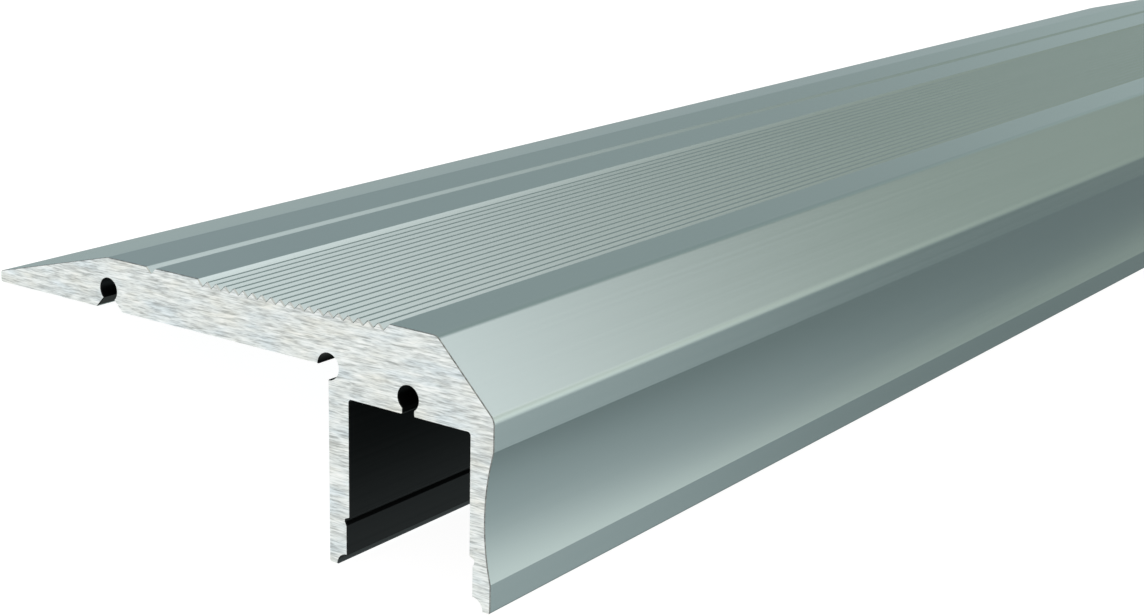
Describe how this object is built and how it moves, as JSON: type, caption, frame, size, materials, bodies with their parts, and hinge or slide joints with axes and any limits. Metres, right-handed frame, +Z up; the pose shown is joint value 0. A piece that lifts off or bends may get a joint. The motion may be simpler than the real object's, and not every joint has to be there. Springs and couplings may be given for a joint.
{
  "type": "stair nosing",
  "caption": "Extruded aluminium stair nosing with a ramped back edge, ribbed anti-slip strip, chamfered nose and a light channel with snap grooves under it.",
  "frame": {"origin": "middle of the bounding box's underside, on the floor on which the profile lies", "axes": "+Z up; +Y along the extrusion; +X across it, toward the nose. The profile lies on its back edge and the rear leg's foot, so its tread face is turned 22.5 degrees about Y from level"},
  "size_m": [0.0566, 0.25, 0.0229],
  "materials": {
    "anodised_aluminium": "satin silver anodised, sawn bright at the ends"
  },
  "bodies": {
    "root": {"nosing_profile": "anodised_aluminium"}
  },
  "joints": []
}
